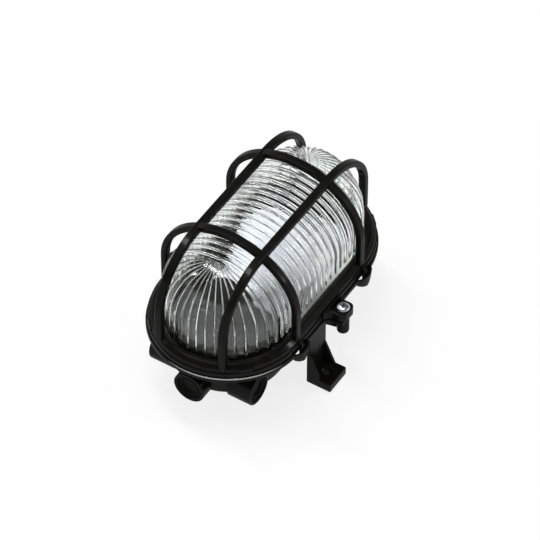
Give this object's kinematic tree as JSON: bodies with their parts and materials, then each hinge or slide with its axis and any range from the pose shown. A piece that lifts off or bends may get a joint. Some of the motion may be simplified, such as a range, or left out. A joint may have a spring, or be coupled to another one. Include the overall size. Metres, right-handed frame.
{
  "type": "bulkhead light",
  "caption": "Oval bulkhead light with a ribbed glass dome under a hinged cage guard, closed by one screw, on a moulded base with feet and cable entries.",
  "frame": {"origin": "middle of the footprint on the mounting plane, under the centre of the oval", "axes": "+Z away from the wall, +Y along the oval towards the end without a cable entry, +X towards the closing screw; the hinge is on the -X side"},
  "size_m": [0.1512, 0.21, 0.137],
  "materials": {
    "black_moulding": "satin, fine moulded grain",
    "ribbed_glass": "clear pressed glass with reeds",
    "grey_rubber": "soft matt",
    "black_rubber": "matt",
    "zinc_steel": "bright zinc plate",
    "spring_steel": "rolled sheet",
    "brass": "turned or rolled",
    "holder_moulding": "thermoset moulding",
    "block_moulding": "natural nylon",
    "white_enamel": "baked white enamel",
    "pearl_lamp": "pearl coated envelope",
    "brown_insulation": "extruded sleeve",
    "blue_insulation": "extruded sleeve"
  },
  "bodies": {
    "base": {"base_gasket": "grey_rubber", "base_housing": "black_moulding", "block_screw_left": "zinc_steel", "block_screw_right": "zinc_steel", "bracket_screw_left": "zinc_steel", "bracket_screw_right": "zinc_steel", "entry_plug_end": "black_rubber", "entry_plug_left": "black_rubber", "entry_plug_right": "black_rubber", "hinge_pin_far": "zinc_steel", "hinge_pin_near": "zinc_steel", "holder_screw_left": "zinc_steel", "holder_screw_right": "zinc_steel", "lamp_bulb": "pearl_lamp", "lampholder_body": "holder_moulding", "lampholder_bracket": "zinc_steel", "lampholder_contact": "brass", "lampholder_shell": "brass", "lead_live": "brown_insulation", "lead_neutral": "blue_insulation", "reflector_plate": "white_enamel", "reflector_screw_far": "zinc_steel", "reflector_screw_near": "zinc_steel", "screw_insert": "brass", "terminal_block": "block_moulding", "terminal_screw_1": "spring_steel", "terminal_screw_2": "spring_steel", "terminal_screw_3": "spring_steel", "terminal_screw_4": "spring_steel", "terminal_screw_5": "spring_steel", "terminal_screw_6": "spring_steel"},
    "guard": {"guard_frame": "black_moulding", "glass_diffuser": "ribbed_glass", "guard_screw": "zinc_steel", "screw_retainer": "spring_steel", "glass_clip_1": "spring_steel", "glass_clip_2": "spring_steel", "glass_clip_3": "spring_steel", "glass_clip_4": "spring_steel", "clip_screw_1": "zinc_steel", "clip_screw_2": "zinc_steel", "clip_screw_3": "zinc_steel", "clip_screw_4": "zinc_steel"}
  },
  "joints": [
    {"name": "guard_hinge", "type": "hinge", "parent": "base", "child": "guard", "pos_m": [-0.0629, 0, 0.0568], "axis": [0, -1, 0], "range_deg": [0, 105]}
  ]
}
